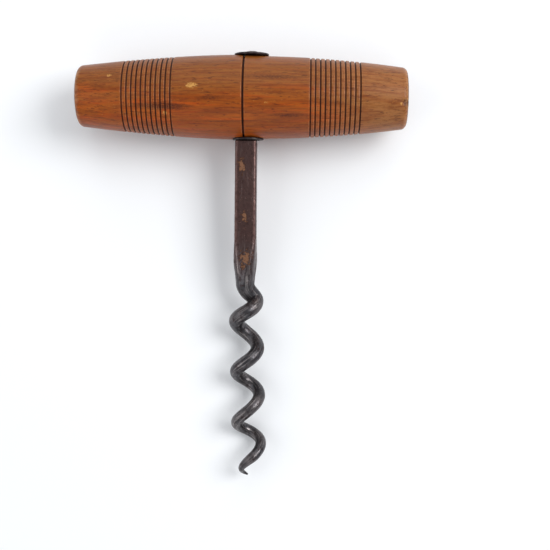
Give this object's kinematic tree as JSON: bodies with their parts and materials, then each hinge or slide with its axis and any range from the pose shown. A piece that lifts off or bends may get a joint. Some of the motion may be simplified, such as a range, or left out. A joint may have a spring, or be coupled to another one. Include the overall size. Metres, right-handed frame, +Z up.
{
  "type": "corkscrew",
  "caption": "Straight-pull corkscrew: a turned wooden barrel handle across the top of a forged iron shank and helical worm.",
  "frame": {"origin": "on the table under the middle of the whole object's box, the corkscrew lying on its side", "axes": "+X along the handle, +Y from the worm's point towards the burr on top of the handle, +Z up from the table"},
  "size_m": [0.0948, 0.1248, 0.0244],
  "materials": {
    "handle_wood": "stained and shellac polished, worn",
    "forged_iron": "forged wrought iron, dark patina with a little rust",
    "burr_iron": "hammered iron, blackened"
  },
  "bodies": {
    "root": {"handle": "handle_wood", "screw": "forged_iron", "top_burr": "burr_iron", "bottom_washer": "burr_iron"}
  },
  "joints": []
}
